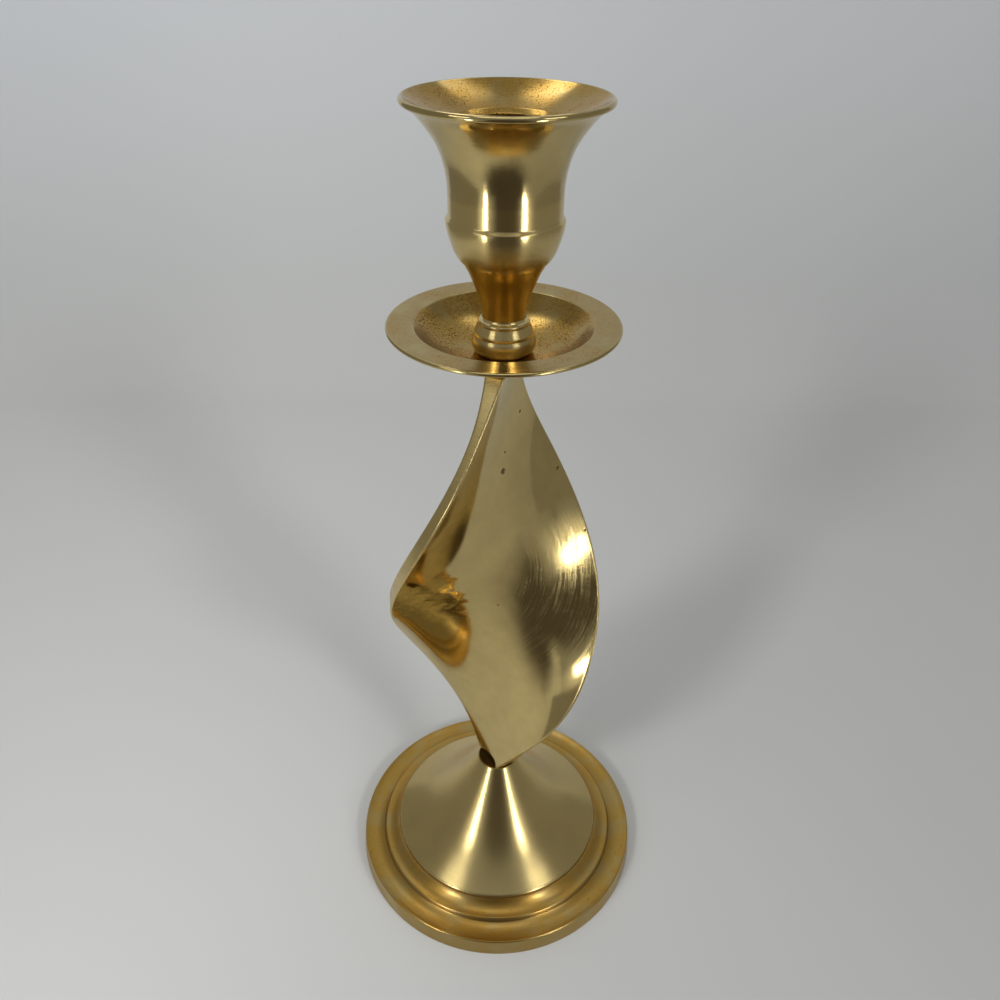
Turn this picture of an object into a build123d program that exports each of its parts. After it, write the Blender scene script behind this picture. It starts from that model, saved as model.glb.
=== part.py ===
from build123d import *
import os

# Spiral candle holder in brass: a stepped round base, a blade-shaped stem that twists by a third of a
# turn, a dished drip pan and a flared cup for one taper candle. The stem ends in a threaded spigot at
# each end. The upper one passes through the pan and screws into the cup, and the lower one passes
# through the neck of the hollow base and is held by a washer and a hexagon nut inside it.
# Millimetres, +Z up. The origin is the centre of the circle that the base stands on, and the front is
# -Y. Threads are plain cylinders at their outer diameter.

os.makedirs("parts", exist_ok=True)

# Base: a concave cone on two coved steps, hollow underneath
base_radius = 45.0
base_height = 38.0
rim_inset = 0.5
rim_height = 5.7
outer_ledge_width = 7.3
outer_ledge_rise = 1.25
inner_ledge_width = 5.4
inner_ledge_rise = 3.65
step_drop = 1.2
cove_sag = 0.75
edge_round = 0.35
base_neck_wall = 3.25
base_neck_length = 14.0
neck_slope = 1.42
cone_foot_slope = 0.6
cone_radius_shares = (0.4, 0.63)
cone_drop_shares = (0.52, 0.75)
rest_width = 3.5
washer_land = 3.0
hollow_rim_height = 2.2
hollow_radius_shares = (0.17, 0.35, 0.6, 0.82)
hollow_height_shares = (0.065, 0.22, 0.48, 0.73)

# Lower fixing: the stem's foot spigot, a washer and a hexagon nut
foot_spigot_radius = 3.0
foot_hole_clearance = 0.2
washer_radius = 6.0
washer_thickness = 1.6
nut_flats = 10.0
nut_height = 5.0
nut_chamfer = 0.6
spigot_overhang = 2.0
spigot_chamfer = 0.5
thread_clearance = 0.05

# Stem: a blade through round-edged bars, bowed to a hollow front, which turn as they rise
blade_height = 136.6
blade_reach = 29.2
blade_thickness = 5.2
blade_start_angle = -60.6
blade_turn = 129.8
arris_radius = 0.6
lean_share = 0.048
station_height_shares = (0, 0.08, 0.2, 0.35, 0.5, 0.65, 0.8, 0.92, 1)
station_turn_shares = (0, 0.08, 0.19, 0.355, 0.547, 0.713, 0.857, 0.946, 1)
station_reach_shares = (0.195, 0.425, 0.777, 0.973, 1, 0.89, 0.66, 0.387, 0.19)
station_thickness_shares = (1.46, 1.2, 1.02, 1, 1, 0.82, 0.6, 0.56, 0.95)
station_bow_shares = (0.02, 0.07, 0.09, 0.08, 0.065, 0.06, 0.07, 0.05, 0.02)
boss_flange_width = 3.3
boss_height = 3.0
boss_edge_round = 0.4
top_spigot_radius = 2.5
top_spigot_reach = 10.0

# Drip pan: a flat flange round a bowl, with a flat floor that the cup's bead stands on
pan_radius = 27.2
pan_depth = 7.1
pan_thickness = 1.2
pan_flange_thickness = 1.0
pan_flange_width = 6.4
pan_well_gap = 0.3
pan_flange_rise = 0.25
pan_shoulder = 0.5
pan_hole_clearance = 0.2
bowl_radius_shares = (0.4, 0.76)
bowl_height_shares = (0.16, 0.54)

# Candle cup from its bead upwards. Its heights are above the pan's floor
neck_wall = 2.37
bead_foot_width = 1.03
bead_width = 2.63
bead_belly_height = 2.7
bead_height = 4.5
groove_depth = 0.2
groove_height = 0.4
collar_width = 2.08
collar_height = 0.35
collar_cone_height = 1.95
collar_top_width = 1.03
ring_width = 0.53
ring_height = 0.9
ring_hollow_radius_share = 0.25
ring_hollow_height_share = 0.65
neck_waist_height = 9.1
neck_radius_shares = (0.07, 0.25, 0.5, 0.68)
neck_height_shares = (0.18, 0.4, 0.64, 0.8)
ridge_radius = 9.95
ridge_height = 21.95
ridge_width = 0.2
bowl_belly_radius_share = 0.69
bowl_belly_height_share = 0.48
shoulder_height = 31.1
shoulder_step = 0.6
shoulder_round = 0.35
socket_radius = 11.1
socket_depth = 22.4
socket_mouth_round = 0.9
socket_mouth_width = 1.2
socket_floor_drop = 0.7
cup_wall = 1.3
cup_flare_width = 9.5
cup_flare_foot_height = 36.0
cup_height = 55.15
rim_thickness = 1.45
rim_foot_inset = 0.87
flare_radius_shares = (0.042, 0.126, 0.262, 0.509, 0.675, 0.845)
flare_height_shares = (0.237, 0.407, 0.571, 0.757, 0.859, 0.944)
flare_rim_slope = 0.7
funnel_depth = 4.65
funnel_radius_share = 0.5
funnel_drop_share = 0.6
cup_thread_spare = 1.2

# Heights and radii that follow from the sizes above
boss_foot = base_height + blade_height
pan_seat = boss_foot + boss_height
cup_foot = pan_seat + pan_thickness
hollow_floor_height = base_height - base_neck_length
washer_foot = hollow_floor_height - washer_thickness
nut_foot = washer_foot - nut_height
foot_spigot_end = nut_foot - spigot_overhang
top_spigot_end = cup_foot + top_spigot_reach
foot_hole_radius = foot_spigot_radius + foot_hole_clearance
waist_radius = top_spigot_radius + neck_wall
cup_body_radius = socket_radius + cup_wall


def between(low, high, share):
    """The value at a share of the way from low to high."""
    return low + (high - low) * share


def on_the_way(start, end, radius_shares, height_shares):
    """Points of an outline from start to end, each at a share of the way in radius and in height."""
    return [
        (between(start[0], end[0], radius_share), between(start[1], end[1], height_share))
        for radius_share, height_share in zip(radius_shares, height_shares)
    ]


def cove_middle(start, end, sag):
    """The middle of a hollow arc from start out to end, which dips below their chord by sag."""
    run = end[0] - start[0]
    rise = end[1] - start[1]
    chord = (run**2 + rise**2) ** 0.5
    middle_radius = start[0] + run / 2 + sag * rise / chord
    middle_height = start[1] + rise / 2 - sag * run / chord
    return (middle_radius, middle_height)


# Base: its outline runs from the neck down the cone and over two coves to the ring that it stands on
step_radius = base_radius - outer_ledge_width
step_height = rim_height + outer_ledge_rise
cone_radius = step_radius - inner_ledge_width
cone_edge_height = step_height + inner_ledge_rise
base_neck_radius = foot_spigot_radius + base_neck_wall
neck_edge = (base_neck_radius, base_height - edge_round)
cone_edge = (cone_radius, cone_edge_height)
inner_cove_start = (cone_radius + edge_round, cone_edge_height - step_drop)
inner_cove_end = (step_radius - edge_round, step_height)
outer_cove_start = (step_radius + edge_round, step_height - step_drop)
outer_cove_end = (base_radius - rim_inset - edge_round, rim_height)
hollow_rim = (base_radius - rest_width, hollow_rim_height)
hollow_corner = (washer_radius + washer_land, hollow_floor_height)

with BuildPart() as base:
    with BuildSketch(Plane.XZ):
        with BuildLine():
            Polyline((foot_hole_radius, base_height), (base_neck_radius - edge_round, base_height), neck_edge)
            Spline(
                neck_edge,
                *on_the_way(neck_edge, cone_edge, cone_radius_shares, cone_drop_shares),
                cone_edge,
                tangents=[(1, -neck_slope), (1, -cone_foot_slope)],
            )
            Polyline(cone_edge, (inner_cove_start[0], cone_edge_height - edge_round), inner_cove_start)
            ThreePointArc(
                inner_cove_start, cove_middle(inner_cove_start, inner_cove_end, cove_sag), inner_cove_end
            )
            Polyline(inner_cove_end, (step_radius, step_height - edge_round), outer_cove_start)
            ThreePointArc(
                outer_cove_start, cove_middle(outer_cove_start, outer_cove_end, cove_sag), outer_cove_end
            )
            Polyline(
                outer_cove_end,
                (base_radius - rim_inset, rim_height - edge_round),
                (base_radius, edge_round),
                (base_radius - edge_round, 0),
                (base_radius - rest_width, 0),
                hollow_rim,
            )
            Spline(
                hollow_rim,
                *on_the_way(hollow_rim, hollow_corner, hollow_radius_shares, hollow_height_shares),
                hollow_corner,
            )
            Polyline(
                hollow_corner, (foot_hole_radius, hollow_floor_height), (foot_hole_radius, base_height)
            )
        make_face()
    revolve(axis=Axis.Z)

# Washer: a flat ring under the floor of the hollow
with BuildPart() as base_washer:
    with BuildSketch(Plane.XY.offset(washer_foot)):
        Circle(washer_radius)
        Circle(foot_hole_radius, mode=Mode.SUBTRACT)
    extrude(amount=washer_thickness)

# Nut: a hexagon whose corners are turned down at both ends
nut_corner_radius = nut_flats / 3**0.5
with BuildPart() as base_nut:
    with BuildSketch(Plane.XY.offset(nut_foot)):
        RegularPolygon(radius=nut_corner_radius, side_count=6)
        Circle(foot_spigot_radius + thread_clearance, mode=Mode.SUBTRACT)
    extrude(amount=nut_height)
    with BuildSketch(Plane.XZ):
        with BuildLine():
            Polyline(
                (0, nut_foot),
                (nut_flats / 2, nut_foot),
                (nut_corner_radius, nut_foot + nut_chamfer),
                (nut_corner_radius, washer_foot - nut_chamfer),
                (nut_flats / 2, washer_foot),
                (0, washer_foot),
                close=True,
            )
        make_face()
    revolve(axis=Axis.Z, mode=Mode.INTERSECT)

# Stem: the blade, the boss that carries the pan, and a spigot at each end
with BuildPart() as twisted_stem:
    for height_share, turn_share, reach_share, thickness_share, bow_share in zip(
        station_height_shares,
        station_turn_shares,
        station_reach_shares,
        station_thickness_shares,
        station_bow_shares,
    ):
        station = Plane.XY.offset(base_height + blade_height * height_share)
        reach = blade_reach * reach_share
        half = blade_thickness * thickness_share / 2
        bow = reach * bow_share
        near, middle, far = (-reach * (1 + lean_share), -reach * lean_share, reach * (1 - lean_share))
        with BuildSketch(station.rotated((0, 0, blade_start_angle + blade_turn * turn_share))):
            with BuildLine():
                ThreePointArc((near, -half), (middle, bow - half), (far, -half))
                Line((far, -half), (far, half))
                ThreePointArc((far, half), (middle, bow + half), (near, half))
                Line((near, half), (near, -half))
            make_face()
            fillet(vertices(), radius=arris_radius)
    loft()
    with BuildSketch(Plane.XY.offset(boss_foot)):
        Circle(top_spigot_radius + boss_flange_width)
    extrude(amount=boss_height)
    fillet(twisted_stem.edges().filter_by(GeomType.CIRCLE).sort_by(Axis.Z)[-1], radius=boss_edge_round)
    with BuildSketch(Plane.XY.offset(pan_seat)):
        Circle(top_spigot_radius)
    extrude(amount=top_spigot_end - pan_seat)
    chamfer(twisted_stem.edges().filter_by(GeomType.CIRCLE).sort_by(Axis.Z)[-1], length=spigot_chamfer)
    with BuildSketch(Plane.XY.offset(foot_spigot_end)):
        Circle(foot_spigot_radius)
    extrude(amount=base_height - foot_spigot_end)
    chamfer(twisted_stem.edges().filter_by(GeomType.CIRCLE).sort_by(Axis.Z)[0], length=spigot_chamfer)

# Drip pan: the underside follows the upper side at the pan's thickness
flange_inner_height = cup_foot + pan_depth - pan_flange_rise
flange_outer_height = cup_foot + pan_depth
pan_edge_radius = pan_flange_thickness / 2
pan_bowl_radius = pan_radius - pan_flange_width
pan_well_radius = waist_radius + bead_width + pan_well_gap
upper_well = (pan_well_radius, cup_foot)
upper_shoulder = (pan_bowl_radius - pan_shoulder, flange_inner_height - pan_shoulder)
lower_well = (pan_well_radius - pan_thickness / 2, pan_seat)
lower_shoulder_height = flange_inner_height - pan_flange_thickness - pan_shoulder
lower_shoulder = (pan_bowl_radius + pan_thickness / 2, lower_shoulder_height)

with BuildPart() as drip_pan:
    with BuildSketch(Plane.XZ):
        with BuildLine():
            Line((0, cup_foot), upper_well)
            Spline(
                upper_well,
                *on_the_way(upper_well, upper_shoulder, bowl_radius_shares, bowl_height_shares),
                upper_shoulder,
                tangents=[(1, 0), (1, 1)],
            )
            Polyline(
                upper_shoulder,
                (pan_bowl_radius, flange_inner_height),
                (pan_radius - pan_edge_radius, flange_outer_height),
            )
            ThreePointArc(
                (pan_radius - pan_edge_radius, flange_outer_height),
                (pan_radius, flange_outer_height - pan_edge_radius),
                (pan_radius - pan_edge_radius, flange_outer_height - pan_flange_thickness),
            )
            Polyline(
                (pan_radius - pan_edge_radius, flange_outer_height - pan_flange_thickness),
                (lower_shoulder[0] + pan_shoulder, flange_inner_height - pan_flange_thickness),
                lower_shoulder,
            )
            Spline(
                lower_shoulder,
                *on_the_way(lower_well, lower_shoulder, bowl_radius_shares, bowl_height_shares)[::-1],
                lower_well,
                tangents=[(-1, -1), (-1, 0)],
            )
            Polyline(lower_well, (0, pan_seat), (0, cup_foot))
        make_face()
    revolve(axis=Axis.Z)
    with BuildSketch(Plane.XY.offset(pan_seat)):
        Circle(top_spigot_radius + pan_hole_clearance)
    extrude(amount=pan_thickness, mode=Mode.SUBTRACT)

# Candle cup: bead, collar, neck, ridge, bowl, shoulder, flared body, rim, funnel and candle socket
groove_foot_height = cup_foot + bead_height
collar_foot_height = groove_foot_height + groove_height
collar_edge_height = collar_foot_height + collar_height
collar_radius = waist_radius + collar_width
groove_radius = collar_radius - groove_depth
collar_top = (waist_radius + collar_top_width, collar_edge_height + collar_cone_height)
ring_top = (waist_radius + ring_width, collar_top[1] + ring_height)
waist = (waist_radius, cup_foot + neck_waist_height)
ridge_foot = (ridge_radius - ridge_width, cup_foot + ridge_height - ridge_width)
ridge = (ridge_radius, cup_foot + ridge_height)
shoulder_foot = (cup_body_radius + shoulder_step, cup_foot + shoulder_height - shoulder_round)
shoulder_top = (cup_body_radius, cup_foot + shoulder_height + shoulder_round)
flare_foot = (cup_body_radius, cup_foot + cup_flare_foot_height)
rim_radius = cup_body_radius + cup_flare_width
rim_top = (rim_radius - rim_thickness / 2, cup_foot + cup_height)
rim_edge = (rim_radius, rim_top[1] - rim_thickness / 2)
rim_foot = (rim_radius - rim_foot_inset, rim_top[1] - rim_thickness)
funnel_foot = (socket_radius + socket_mouth_width, rim_top[1] - funnel_depth)
socket_top_height = funnel_foot[1] - socket_mouth_round
socket_floor_height = socket_top_height - socket_depth

with BuildPart() as candle_cup:
    with BuildSketch(Plane.XZ):
        with BuildLine():
            Line((0, cup_foot), (waist_radius + bead_foot_width, cup_foot))
            ThreePointArc(
                (waist_radius + bead_foot_width, cup_foot),
                (waist_radius + bead_width, cup_foot + bead_belly_height),
                (groove_radius, groove_foot_height),
            )
            Polyline(
                (groove_radius, groove_foot_height),
                (groove_radius, collar_foot_height),
                (collar_radius, collar_foot_height),
                (collar_radius, collar_edge_height),
                collar_top,
            )
            ThreePointArc(collar_top, (collar_top[0], collar_top[1] + ring_height / 2), ring_top)
            ThreePointArc(
                ring_top,
                (
                    between(waist[0], ring_top[0], ring_hollow_radius_share),
                    between(waist[1], ring_top[1], ring_hollow_height_share),
                ),
                waist,
            )
            Spline(
                waist,
                *on_the_way(waist, ridge_foot, neck_radius_shares, neck_height_shares),
                ridge_foot,
            )
            Line(ridge_foot, ridge)
            Spline(
                ridge,
                (
                    between(ridge[0], shoulder_foot[0], bowl_belly_radius_share),
                    between(ridge[1], shoulder_foot[1], bowl_belly_height_share),
                ),
                shoulder_foot,
                tangents=[(1, 1), (0, 1)],
            )
            Polyline(shoulder_foot, shoulder_top, flare_foot)
            Spline(
                flare_foot,
                *on_the_way(flare_foot, rim_foot, flare_radius_shares, flare_height_shares),
                rim_foot,
                tangents=[(0, 1), (1, flare_rim_slope)],
            )
            ThreePointArc(rim_foot, rim_edge, rim_top)
            ThreePointArc(
                rim_top,
                (
                    between(rim_top[0], funnel_foot[0], funnel_radius_share),
                    between(rim_top[1], funnel_foot[1], funnel_drop_share),
                ),
                funnel_foot,
            )
            Polyline(
                funnel_foot,
                (socket_radius, socket_top_height),
                (socket_radius, socket_floor_height),
                (socket_radius - socket_floor_drop, socket_floor_height - socket_floor_drop),
                (0, socket_floor_height - socket_floor_drop),
                (0, cup_foot),
            )
        make_face()
    revolve(axis=Axis.Z)
    with BuildSketch(Plane.XY.offset(cup_foot)):
        Circle(top_spigot_radius + thread_clearance)
    extrude(amount=top_spigot_reach + cup_thread_spare, mode=Mode.SUBTRACT)

for name, piece in (
    ("base", base),
    ("base_washer", base_washer),
    ("base_nut", base_nut),
    ("twisted_stem", twisted_stem),
    ("drip_pan", drip_pan),
    ("candle_cup", candle_cup),
):
    piece.part.label = name
    export_step(piece.part, f"parts/{name}.step")
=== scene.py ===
"""Finish of the twisted candle holder: turned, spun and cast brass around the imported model.

The turned pieces are surfaces of revolution of eased outlines, and the stem is a rounded bar that twists
as it rises. Each is computed as whole arrays and stands for the node of the same piece. The file is laid
out as an add-on: sizes and colours are properties, each piece has an operator, and a panel lists them.
"""

import math
from functools import partial

import bpy
import numpy as np
from bpy.props import FloatProperty, FloatVectorProperty, PointerProperty
from mathutils import Matrix, Quaternion, Vector


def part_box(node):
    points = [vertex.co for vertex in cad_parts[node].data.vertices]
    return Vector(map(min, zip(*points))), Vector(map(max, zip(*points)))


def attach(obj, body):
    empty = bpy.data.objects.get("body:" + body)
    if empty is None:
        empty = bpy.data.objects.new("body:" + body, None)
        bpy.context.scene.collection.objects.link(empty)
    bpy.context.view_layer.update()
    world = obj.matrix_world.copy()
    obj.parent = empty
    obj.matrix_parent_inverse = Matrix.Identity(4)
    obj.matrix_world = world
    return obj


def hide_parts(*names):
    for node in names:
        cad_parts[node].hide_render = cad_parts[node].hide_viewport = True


bl_info = {
    "name": "Twisted Candle Holder",
    "version": (1, 0, 0),
    "blender": (4, 5, 0),
    "location": "3D View > Sidebar > Candle Holder",
    "description": "Turned, spun and cast brass finish for the packed candle holder",
    "category": "Object",
}

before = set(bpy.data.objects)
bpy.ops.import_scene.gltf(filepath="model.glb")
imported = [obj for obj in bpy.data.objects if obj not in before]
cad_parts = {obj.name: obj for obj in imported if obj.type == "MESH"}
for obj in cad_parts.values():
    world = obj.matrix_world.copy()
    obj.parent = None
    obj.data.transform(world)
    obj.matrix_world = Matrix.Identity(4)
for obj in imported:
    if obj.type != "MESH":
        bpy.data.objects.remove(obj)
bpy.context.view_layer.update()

MM = 0.001
# Outlines are blurred in steps of FINE_STEP, and their rows end up at most LONG_STEP or TURN_STEP apart
FINE_STEP = 0.02 * MM
LONG_STEP = 0.8 * MM
TURN_STEP = math.radians(9)
ARC_POINTS = 33
# Points round a large piece, a small one and the thread
RING_SEGMENTS, SMALL_SEGMENTS, THREAD_SEGMENTS = 288, 144, 96
# Softness of the edges of the cup and boss, of the nut and washer, and of the threaded foot
BRIGHT_EDGE, FIXING_EDGE, THREAD_EDGE = 0.1 * MM, 0.08 * MM, 0.05 * MM


def span(node):
    """Lowest and highest height of a node."""
    low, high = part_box(node)
    return low.z, high.z


def outer_radius(node):
    """Largest radius of a turned node."""
    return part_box(node)[1].x


BASE_RADIUS = outer_radius("base")
BASE_HEIGHT = span("base")[1]
# The candle cup's bead stands on the pan's floor
PAN_FLOOR, CUP_TOP = span("candle_cup")
PAN_RADIUS = outer_radius("drip_pan")
PAN_TOP = span("drip_pan")[1]
RIM_RADIUS = outer_radius("candle_cup")
WASHER_RADIUS = outer_radius("base_washer")
WASHER_FOOT, WASHER_TOP = span("base_washer")
NUT_FOOT = span("base_nut")[0]
STEM_FOOT, STEM_TOP = span("twisted_stem")


def in_metres(place):
    """A place or size that is given in millimetres, in metres."""
    return [value * MM for value in place]


def linear(hex_colour):
    """The linear red, green and blue of an sRGB hex value."""
    shares = [int(hex_colour[i : i + 2], 16) / 255 for i in (1, 3, 5)]
    return [s / 12.92 if s <= 0.04045 else ((s + 0.055) / 1.055) ** 2.4 for s in shares]


def length(name, description, millimetres):
    """A length that a user can change."""
    return FloatProperty(name=name, description=description, default=millimetres * MM, min=0, unit="LENGTH")


def colour(name, description, hex_colour):
    """A colour that a user can change."""
    return FloatVectorProperty(
        name=name, description=description, default=linear(hex_colour), min=0, max=1, subtype="COLOR"
    )


class HolderSizes(bpy.types.PropertyGroup):
    """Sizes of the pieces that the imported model's boxes don't give."""

    turned_edge: length("Turned edge", "Softness of the edges that the lathe leaves", 0.12)
    outer_ledge: length("Outer ledge", "Width of the base's lower step", 7.3)
    inner_ledge: length("Inner ledge", "Width of the base's upper step", 5.4)
    cove_sag: length("Cove sag", "Depth of the hollow in each step", 0.75)
    base_neck: length("Base neck", "Radius of the base at its top", 6.25)
    foot_hole: length("Foot hole", "Radius of the hole down the base's neck", 3.2)
    pan_sheet: length("Pan thickness", "Thickness of the drip pan's bowl", 1.2)
    pan_flange: length("Pan flange", "Width of the drip pan's flat edge", 6.4)
    cup_waist: length("Cup waist", "Radius of the cup's neck at its thinnest", 4.87)
    socket: length("Candle socket", "Radius of the socket for the candle", 11.1)
    socket_depth: length("Socket depth", "Depth of the straight part of the socket", 22.4)
    cup_wall: length("Cup wall", "Wall round the candle socket", 1.3)
    blade_reach: length("Blade reach", "Largest distance from the stem's axis to its edge", 29.2)
    blade_thickness: length("Blade thickness", "Thickness of the blade at its widest", 5.2)
    arris: length("Arris", "Round along the blade's four edges", 0.6)
    boss: length("Boss", "Radius of the collar under the pan", 5.8)
    top_spigot: length("Top spigot", "Radius of the spigot that the cup screws on", 2.5)
    foot_spigot: length("Foot spigot", "Radius of the spigot through the base", 3.0)
    thread_pitch: length("Thread pitch", "Distance from one turn of the foot's thread to the next", 1.0)
    nut_flats: length("Nut flats", "Width of the nut across its flats", 10.0)


class FinishColours(bpy.types.PropertyGroup):
    """Colours of the metals and their tarnish."""

    brass: colour("Brass", "Yellow brass, freshly cut or buffed", "#E3CA89")
    dull_brass: colour("Dull brass", "Brass with a thin grey film of tarnish", "#BAA671")
    brown_brass: colour("Brown brass", "Brass with a thicker golden-brown film, as in a hollow", "#C29A4C")
    # The specks' colour is also the near black of the sooted socket and the dark joint, painted shade there
    # too
    speck: colour("Specks", "Spots where the tarnish has gone nearly black", "#3B2A16")
    pit: colour("Pits", "Dirt in the small pits of the casting", "#3A2A14")
    zinc: colour("Zinc", "Zinc plating on steel", "#B9BCBB")


class StudioSettings(bpy.types.PropertyGroup):
    """Colours and lamps of the stage."""

    cloth: colour("Cloth", "The pale floor and backdrop", "#E1E1DE")
    # The side cards and the glow cards glow with painted light of their own, and only the metal shows them
    side_cards: colour("Side cards", "Grey cards left and right of the object", "#82817D")
    front_card: colour("Front card", "Dark card in front of the object, behind the camera", "#4D4844")
    glow_card: colour("Glow cards", "Pale cards beside the front lamps", "#F0F0EC")
    surround: colour("Surround", "Light from all round", "#8B8D90")
    lamp_glare: FloatProperty(
        name="Lamp glare", description="How bright the front lamps are, where white is 1", default=16, min=0
    )


def between(low, high, share):
    """The value at a share of the way from low to high."""
    return low + (high - low) * share


def shares_of(start, end, radius_shares, height_shares):
    """Outline points from start to end, each at a share of the way in radius and in height."""
    shares = zip(radius_shares, height_shares)
    return [(between(start[0], end[0], r), between(start[1], end[1], h)) for r, h in shares]


def spline(knots, values, places, start_slope=None, end_slope=None):
    """A cubic spline read at places. Between two knots it is the Hermite cubic of their values and
    slopes. The slopes make the bend the same on both sides of each knot, and an end with no given slope
    doesn't bend."""
    knots = np.asarray(knots, float)
    values = np.asarray(values, float).reshape(len(knots), -1)
    gaps = np.diff(knots)[:, None]
    rates = np.diff(values, axis=0) / gaps
    inner = np.arange(1, len(knots) - 1)
    system = np.zeros((len(knots), len(knots)))
    system[inner, inner - 1] = gaps[1:, 0]
    system[inner, inner] = 2 * (gaps[1:, 0] + gaps[:-1, 0])
    system[inner, inner + 1] = gaps[:-1, 0]
    wanted = np.zeros_like(values)
    wanted[inner] = 3 * (gaps[1:] * rates[:-1] + gaps[:-1] * rates[1:])
    for end, neighbour, rate, slope in ((0, 1, rates[0], start_slope), (-1, -2, rates[-1], end_slope)):
        system[end, end] = 2 if slope is None else 1
        system[end, neighbour] = 1 if slope is None else 0
        wanted[end] = 3 * rate if slope is None else slope
    slopes = np.linalg.solve(system, wanted)
    piece = np.clip(np.searchsorted(knots, places, side="right") - 1, 0, len(knots) - 2)
    gap = gaps[piece]
    t = (np.asarray(places)[:, None] - knots[piece][:, None]) / gap
    return (
        (1 + 2 * t) * (1 - t) ** 2 * values[piece]
        + t * (1 - t) ** 2 * gap * slopes[piece]
        + t**2 * (3 - 2 * t) * values[piece + 1]
        + t**2 * (t - 1) * gap * slopes[piece + 1]
    )


def curve(*points, start=None, end=None):
    """A smooth run of an outline through points, with the directions start and end at its ends."""
    points = np.array(points)
    lengths = np.hypot(*np.diff(points, axis=0).T)
    knots = np.concatenate(([0], np.cumsum(lengths)))
    places = np.linspace(0, knots[-1], int(knots[-1] / (5 * FINE_STEP)) + 2)
    slopes = [None if d is None else np.array(d) / np.hypot(*d) for d in (start, end)]
    return spline(knots, points, places, *slopes)


def arc(start, middle, end):
    """A run of an outline along the circle through three points."""
    start, middle, end = (complex(*p) for p in (start, middle, end))
    w = (end - start) / (middle - start)
    centre = start + (middle - start) * (w - abs(w) ** 2) / (2j * w.imag)
    angles = np.unwrap(np.angle(np.array([start, middle, end]) - centre))
    around = centre + abs(start - centre) * np.exp(1j * np.linspace(angles[0], angles[-1], ARC_POINTS))
    return np.stack([around.real, around.imag], 1)


def hollow_middle(start, end, sag):
    """The middle of a hollow arc from start out to end, which dips below their chord by sag."""
    run, rise = end[0] - start[0], end[1] - start[1]
    chord = math.hypot(run, rise)
    return (start[0] + run / 2 + sag * rise / chord, start[1] + rise / 2 - sag * run / chord)


def outline_of(*runs):
    """Rows of radius, height and tarnish from (tarnish, run) pairs, counter-clockwise round the solid."""
    rows = [np.column_stack((np.array(run), np.full(len(run), tarnish))) for tarnish, run in runs]
    rows = np.concatenate(rows)
    repeated = np.hypot(*np.diff(rows[:, :2], axis=0).T) < 1e-9
    rows = rows[np.concatenate(([True], ~repeated))]
    radius, height = rows[:, 0], rows[:, 1]
    area = np.sum(radius * np.roll(height, -1) - height * np.roll(radius, -1))
    return rows if area > 0 else rows[::-1]


def eased(outline, softness, closed):
    """Rows of radius, height, tarnish, length so far and tangent angle. The outline is sampled evenly and
    blurred along its length by softness, which makes a small round of each corner. Rows are kept close
    together where it turns and further apart where it runs straight."""
    if closed:
        outline = np.concatenate((outline, outline[:1]))
    along = np.concatenate(([0], np.cumsum(np.hypot(*np.diff(outline[:, :2], axis=0).T))))
    places = np.linspace(0, along[-1], int(along[-1] / FINE_STEP) + 1)
    even = np.stack([np.interp(places, along, column) for column in outline.T], 1)
    reach = int(4 * softness / FINE_STEP)
    if closed:
        padded = np.concatenate((even[-reach - 1 : -1], even, even[1 : reach + 1]))
    else:
        mirror = np.array([-1, 1, 1])
        padded = np.concatenate((even[reach:0:-1] * mirror, even, even[-2 : -reach - 2 : -1] * mirror))
    weights = np.exp(-0.5 * (np.arange(-reach, reach + 1) * FINE_STEP / softness) ** 2)
    weights /= weights.sum()
    blurred = np.stack([np.convolve(column, weights, "valid") for column in padded.T], 1)
    rates = np.gradient(blurred[:, :2], axis=0)
    if closed:
        rates[[0, -1]] = (blurred[1, :2] - blurred[-2, :2]) / 2
    angle = np.unwrap(np.arctan2(rates[:, 1], rates[:, 0]))
    need = np.abs(np.gradient(angle)) / TURN_STEP
    need = np.convolve(np.pad(need, reach, mode="edge"), weights, "valid") + FINE_STEP / LONG_STEP
    counted = np.concatenate(([0], np.cumsum((need[1:] + need[:-1]) / 2)))
    marks = np.linspace(0, counted[-1], int(counted[-1]) + 2)
    kept = np.column_stack((blurred, places, angle))
    rows = np.stack([np.interp(marks, counted, column) for column in kept.T], 1)
    return rows[:-1] if closed else rows


def placed(name, data):
    """A new object of the scene with this data."""
    made = bpy.data.objects.new(name, data)
    bpy.context.scene.collection.objects.link(made)
    return made


def skin(name, grid, normals, poles=None, closed=False, **values):
    """A smooth mesh over a grid of rings and columns. The columns always close into a ring, and the rings
    close too or end in the two poles. Each value becomes a float attribute for the material."""
    rings, columns = grid.shape[:2]
    ring = np.arange(rings if closed else rings - 1)[:, None]
    column = np.arange(columns)[None, :]
    after, beside = (ring + 1) % rings, (column + 1) % columns
    corners = (ring, column), (ring, beside), (after, beside), (after, column)
    faces = np.stack([row * columns + place for row, place in corners], -1).reshape(-1, 4).tolist()
    points, normals = grid.reshape(-1, 3), normals.reshape(-1, 3)
    values = {label: np.broadcast_to(v, (rings, columns)).reshape(-1) for label, v in values.items()}
    if poles is not None:
        column, beside = column[0], beside[0]
        low, high, last = len(points), len(points) + 1, len(points) - columns
        faces += np.stack((np.full_like(column, low), beside, column), 1).tolist()
        faces += np.stack((last + column, last + beside, np.full_like(column, high)), 1).tolist()
        outward = np.sign(poles[1][2] - poles[0][2])
        points = np.concatenate((points, poles))
        normals = np.concatenate((normals, [[0, 0, -outward], [0, 0, outward]]))
        values = {label: np.concatenate((v, (v[0], v[-1]))) for label, v in values.items()}
    mesh = bpy.data.meshes.new(name)
    mesh.from_pydata(points, [], faces)
    for label, array in values.items():
        attribute = mesh.attributes.new(label, "FLOAT", "POINT")
        attribute.data.foreach_set("value", array.astype(np.float32))
    mesh.shade_smooth()
    mesh.normals_split_custom_set_from_vertices(normals)
    return placed(name, mesh)


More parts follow.
